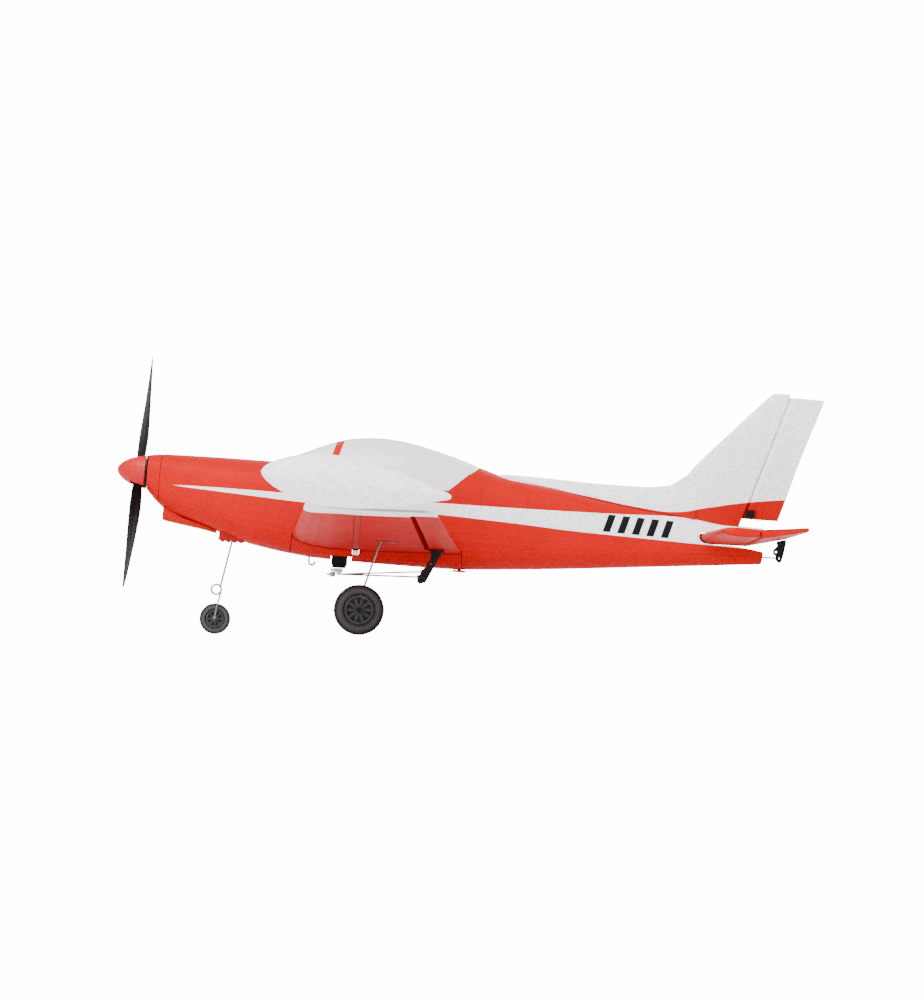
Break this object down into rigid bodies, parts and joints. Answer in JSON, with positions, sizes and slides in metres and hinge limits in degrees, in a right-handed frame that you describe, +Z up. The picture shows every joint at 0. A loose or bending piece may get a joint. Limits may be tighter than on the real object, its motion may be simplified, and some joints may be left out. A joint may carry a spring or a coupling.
{
  "type": "rc model airplane",
  "caption": "Small foam electric low-wing model aeroplane with tip tanks, a lift-off bubble canopy, linked control surfaces and a steerable wire tricycle undercarriage.",
  "frame": {"origin": "on the ground plane, under the middle of the overall box", "axes": "+X from nose to tail, +Y to the starboard wingtip, +Z up; the airframe sits 4.5 degrees nose up on its wheels"},
  "size_m": [0.5314, 0.618, 0.2092],
  "materials": {
    "red_foam": "painted moulded foam",
    "white_foam": "moulded foam",
    "milky_plastic": "milky formed sheet",
    "black_plastic": "moulded plastic",
    "red_plastic": "moulded plastic",
    "white_plastic": "moulded plastic",
    "grey_rubber": "foam rubber tyre",
    "steel_wire": "music wire",
    "aluminium": "turned",
    "copper": "wound copper and laminations",
    "wrap": "shrink wrap",
    "board": "circuit board",
    "plywood": "thin plywood",
    "carbon": "carbon strip"
  },
  "bodies": {
    "airframe": {"fuselage_left": "red_foam", "fuselage_right": "red_foam", "nose_cowl": "red_foam", "chin_scoop": "red_foam", "fin": "white_foam", "stabilizer": "red_foam", "wing_left": "red_foam", "wing_right": "red_foam", "wing_spar": "carbon", "belly_pan": "red_foam", "tip_tank_left": "white_foam", "tip_tank_right": "white_foam", "aileron_servo": "black_plastic", "elevator_servo": "black_plastic", "rudder_servo": "black_plastic", "esc": "wrap", "battery": "wrap", "receiver": "board", "equipment_tray": "plywood", "motor_mount": "plywood", "motor_stator": "copper", "nose_gear_block": "red_plastic", "main_leg_left": "steel_wire", "main_leg_right": "steel_wire", "main_plate_left": "red_plastic", "main_plate_right": "red_plastic", "tow_hook": "steel_wire", "wing_bolt_front": "red_plastic", "wing_bolt_rear": "red_plastic"},
    "prop_drive": {"spinner": "red_plastic", "spinner_backplate": "black_plastic", "propeller": "black_plastic", "prop_shaft": "aluminium", "motor_bell": "aluminium"},
    "left_aileron": {"aileron_left": "red_foam", "aileron_horn_left": "black_plastic"},
    "right_aileron": {"aileron_right": "red_foam", "aileron_horn_right": "black_plastic"},
    "aileron_arm": {"aileron_servo_arm": "white_plastic"},
    "aileron_rod_left": {"aileron_pushrod_left": "steel_wire"},
    "aileron_rod_right": {"aileron_pushrod_right": "steel_wire"},
    "elevator_set": {"elevator": "red_foam", "elevator_horn": "black_plastic"},
    "elevator_arm": {"elevator_servo_arm": "white_plastic"},
    "elevator_rod": {"elevator_pushrod": "steel_wire"},
    "rudder_set": {"rudder": "white_foam", "rudder_horn": "black_plastic", "rudder_horn_plate": "black_plastic"},
    "rudder_arm": {"rudder_servo_arm": "white_plastic"},
    "rudder_rod": {"rudder_pushrod": "steel_wire"},
    "steering_rod": {"steering_pushrod": "steel_wire"},
    "nose_strut": {"nose_leg": "steel_wire"},
    "nose_wheel": {"nose_tyre": "grey_rubber", "nose_hub": "black_plastic"},
    "wheel_left": {"main_tyre_left": "grey_rubber", "main_hub_left": "black_plastic"},
    "wheel_right": {"main_tyre_right": "grey_rubber", "main_hub_right": "black_plastic"},
    "hatch": {"canopy": "milky_plastic", "canopy_frame": "red_foam"}
  },
  "joints": [
    {"name": "prop_spin", "type": "hinge", "parent": "airframe", "child": "prop_drive", "pos_m": [-0.24275, 0, 0.121], "axis": [0.994, 0, -0.1097], "continuous": true},
    {"name": "aileron_left_hinge", "type": "hinge", "parent": "airframe", "child": "left_aileron", "pos_m": [-0.03513, -0.037, 0.07039], "axis": [0.0861, 0.9897, -0.1148], "range_deg": [-10, 10]},
    {"name": "aileron_right_hinge", "type": "hinge", "parent": "airframe", "child": "right_aileron", "pos_m": [-0.03513, 0.037, 0.07039], "axis": [-0.0861, 0.9897, 0.1148], "range_deg": [-10, 10]},
    {"name": "aileron_arm_turn", "type": "hinge", "parent": "airframe", "child": "aileron_arm", "pos_m": [-0.09963, 0, 0.04805], "axis": [0.0785, 0, 0.9969], "range_deg": [-32, 32]},
    {"name": "aileron_rod_left_pivot", "type": "hinge", "parent": "aileron_arm", "child": "aileron_rod_left", "pos_m": [-0.10409, -0.0092, 0.04489], "axis": [0.0785, 0, 0.9969], "range_deg": [-30, 30]},
    {"name": "aileron_rod_right_pivot", "type": "hinge", "parent": "aileron_arm", "child": "aileron_rod_right", "pos_m": [-0.10409, 0.0092, 0.04489], "axis": [0.0785, 0, 0.9969], "range_deg": [-30, 30]},
    {"name": "elevator_hinge", "type": "hinge", "parent": "airframe", "child": "elevator_set", "pos_m": [0.20289, 0, 0.07339], "axis": [0, 1, 0], "range_deg": [-8, 8]},
    {"name": "elevator_arm_turn", "type": "hinge", "parent": "airframe", "child": "elevator_arm", "pos_m": [-0.05003, 0, 0.09079], "axis": [0, 1, 0], "range_deg": [-9.5, 9.5]},
    {"name": "elevator_rod_pivot", "type": "hinge", "parent": "elevator_arm", "child": "elevator_rod", "pos_m": [-0.05073, -0.0037, 0.08181], "axis": [0, 1, 0], "range_deg": [-9, 9]},
    {"name": "rudder_hinge", "type": "hinge", "parent": "airframe", "child": "rudder_set", "pos_m": [0.20542, 0, 0.09175], "axis": [0.3729, 0, 0.9279], "range_deg": [-13, 13]},
    {"name": "rudder_arm_turn", "type": "hinge", "parent": "airframe", "child": "rudder_arm", "pos_m": [-0.05003, 0, 0.09079], "axis": [0, 1, 0], "range_deg": [-24, 24]},
    {"name": "rudder_rod_pivot", "type": "hinge", "parent": "rudder_arm", "child": "rudder_rod", "pos_m": [-0.04932, 0.0037, 0.09976], "axis": [0, 1, 0], "range_deg": [-24, 24]},
    {"name": "steering_rod_pivot", "type": "hinge", "parent": "rudder_arm", "child": "steering_rod", "pos_m": [-0.05073, 0.0037, 0.08181], "axis": [0, 1, 0], "range_deg": [-24, 24]},
    {"name": "nose_steer", "type": "hinge", "parent": "airframe", "child": "nose_strut", "pos_m": [-0.18675, 0, 0.0375], "axis": [0.2365, 0, 0.9716], "range_deg": [-19, 19]},
    {"name": "nose_wheel_spin", "type": "hinge", "parent": "nose_strut", "child": "nose_wheel", "pos_m": [-0.192, 0, 0.0115], "axis": [0, 1, 0], "continuous": true},
    {"name": "wheel_left_spin", "type": "hinge", "parent": "airframe", "child": "wheel_left", "pos_m": [-0.0844, -0.085, 0.0182], "axis": [0, 1, 0], "continuous": true},
    {"name": "wheel_right_spin", "type": "hinge", "parent": "airframe", "child": "wheel_right", "pos_m": [-0.0844, 0.085, 0.0182], "axis": [0, 1, 0], "continuous": true},
    {"name": "hatch_lift", "type": "slide", "parent": "airframe", "child": "hatch", "axis": [0.0785, 0, 0.9969], "range_m": [0, 0.07]}
  ],
  "couplings": [
    {"joint": "aileron_right_hinge", "follows": "aileron_left_hinge", "ratio": -1},
    {"joint": "aileron_arm_turn", "follows": "aileron_left_hinge", "ratio": -3.1},
    {"joint": "aileron_rod_left_pivot", "follows": "aileron_left_hinge", "ratio": 2.92},
    {"joint": "aileron_rod_right_pivot", "follows": "aileron_left_hinge", "ratio": 2.92},
    {"joint": "elevator_arm_turn", "follows": "elevator_hinge", "ratio": 1},
    {"joint": "elevator_rod_pivot", "follows": "elevator_hinge", "ratio": -0.895},
    {"joint": "rudder_arm_turn", "follows": "rudder_hinge", "ratio": -1.69},
    {"joint": "rudder_rod_pivot", "follows": "rudder_hinge", "ratio": 1.69},
    {"joint": "steering_rod_pivot", "follows": "rudder_hinge", "ratio": 1.69},
    {"joint": "nose_steer", "follows": "rudder_hinge", "ratio": -1.267}
  ]
}
